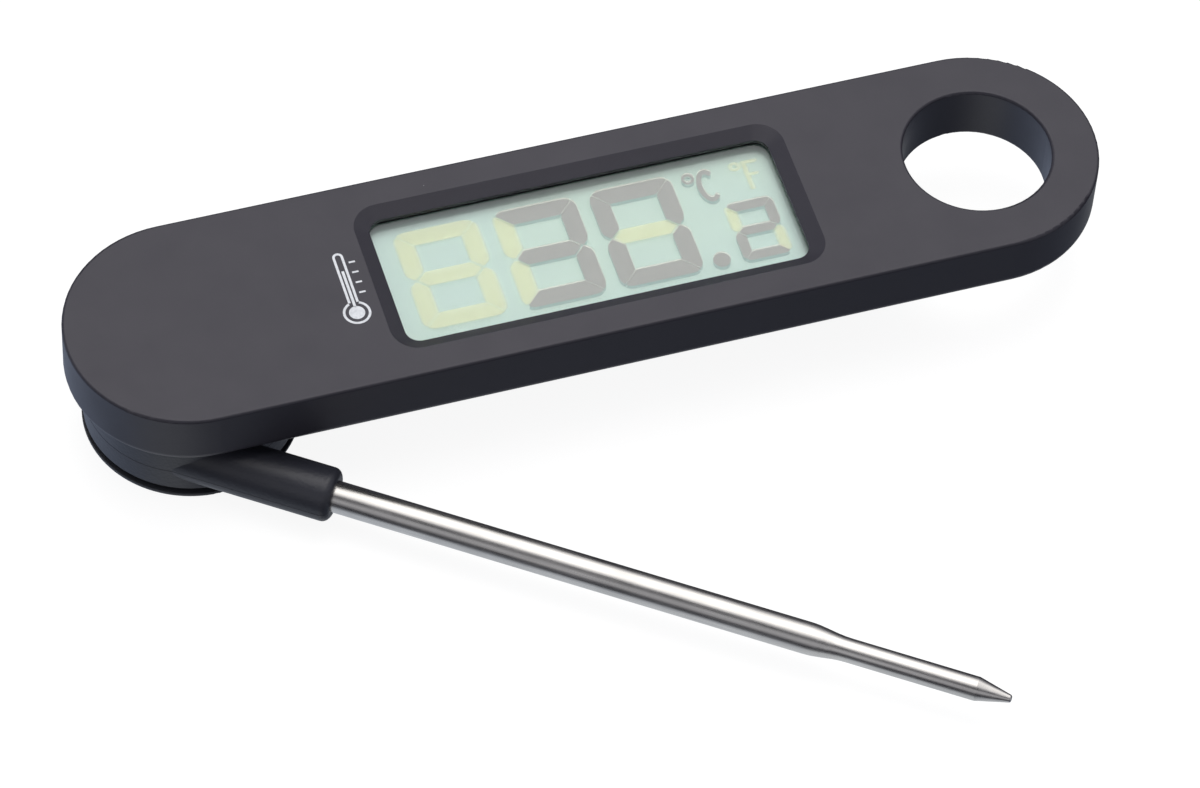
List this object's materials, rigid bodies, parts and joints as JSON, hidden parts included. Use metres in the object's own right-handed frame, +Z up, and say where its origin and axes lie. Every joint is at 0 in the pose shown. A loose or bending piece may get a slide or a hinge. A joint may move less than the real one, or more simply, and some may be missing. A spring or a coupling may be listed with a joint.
{
  "type": "folding probe thermometer",
  "caption": "Pocket meat thermometer: flat black handle with a digital display and hanging hole, and a stainless probe that folds out on a round hub under one end.",
  "frame": {"origin": "on the probe's pivot axis, at the battery cover's flat underside, which is the lowest plane of the part", "axes": "+X from the pivot to the hanging hole along the handle, +Z up through the display face, +Y towards the edge of the handle away from the probe"},
  "size_m": [0.1329, 0.0871, 0.0179],
  "materials": {
    "soft_black": "soft-touch matt black",
    "satin_black": "fine satin black",
    "hub_black": "fine spark-eroded black",
    "cap_black": "fine satin black",
    "inner_black": "moulded black",
    "screw_steel": "zinc plated",
    "print_black": "black adhesive film",
    "clear_lens": "clear polished",
    "lcd_glass": "clear polished",
    "lcd_mint": "matt mint grey reflector",
    "white_plastic": "satin white",
    "strip_rubber": "layered conductive rubber",
    "board_green": "green solder mask",
    "resin_black": "glossy resin",
    "plated_metal": "nickel plated",
    "chip_ceramic": "ceramic",
    "switch_glass": "clear glass",
    "button_grey": "matt grey",
    "cell_steel": "brushed stainless",
    "seal_rubber": "matt black",
    "washer_plastic": "smooth natural acetal",
    "magnet_nickel": "nickel plated",
    "probe_steel": "polished lengthwise-drawn stainless",
    "bead_resin": "glossy resin",
    "filler_resin": "grey resin",
    "lead_white": "white insulation",
    "lead_red": "red insulation"
  },
  "bodies": {
    "handle": {"top_cover": "soft_black", "bottom_cover": "satin_black", "cover_screws": "screw_steel", "lens_seal": "print_black", "display_lens": "clear_lens", "lcd_glass_upper": "lcd_glass", "lcd_glass_lower": "lcd_glass", "lcd_reflector": "lcd_mint", "lcd_frame": "white_plastic", "contact_strip": "strip_rubber", "circuit_board": "board_green", "board_screws": "screw_steel", "controller_blob": "resin_black", "crystal": "plated_metal", "board_passives": "chip_ceramic", "reed_switch": "switch_glass", "unit_switch_dome": "plated_metal", "pivot_boss": "inner_black", "boss_screws": "screw_steel", "coin_cell": "cell_steel", "positive_contact": "plated_metal", "negative_contact": "plated_metal", "friction_washer": "washer_plastic", "link_leads": "lead_white", "battery_leads": "lead_red"},
    "probe": {"hub_upper_shell": "hub_black", "hub_lower_shell": "hub_black", "hub_magnet": "magnet_nickel", "probe_tube": "probe_steel", "thermistor": "bead_resin", "tip_filler": "filler_resin", "probe_leads": "lead_white"},
    "battery_cover": {"battery_cover": "cap_black", "cover_seal": "seal_rubber"},
    "unit_button": {"unit_button": "button_grey"}
  },
  "joints": [
    {"name": "probe_fold", "type": "hinge", "parent": "handle", "child": "probe", "pos_m": [0, 0, 0.0059], "axis": [0, 0, 1], "range_deg": [-144.3, 35.7]},
    {"name": "cover_twist", "type": "hinge", "parent": "handle", "child": "battery_cover", "pos_m": [0, 0, 0.001], "axis": [0, 0, 1], "range_deg": [0, 30]},
    {"name": "unit_press", "type": "slide", "parent": "handle", "child": "unit_button", "axis": [0, 0, 1], "range_m": [0, 0.00025], "stiffness_N_per_m": 4000, "springref_m": -0.00002}
  ]
}
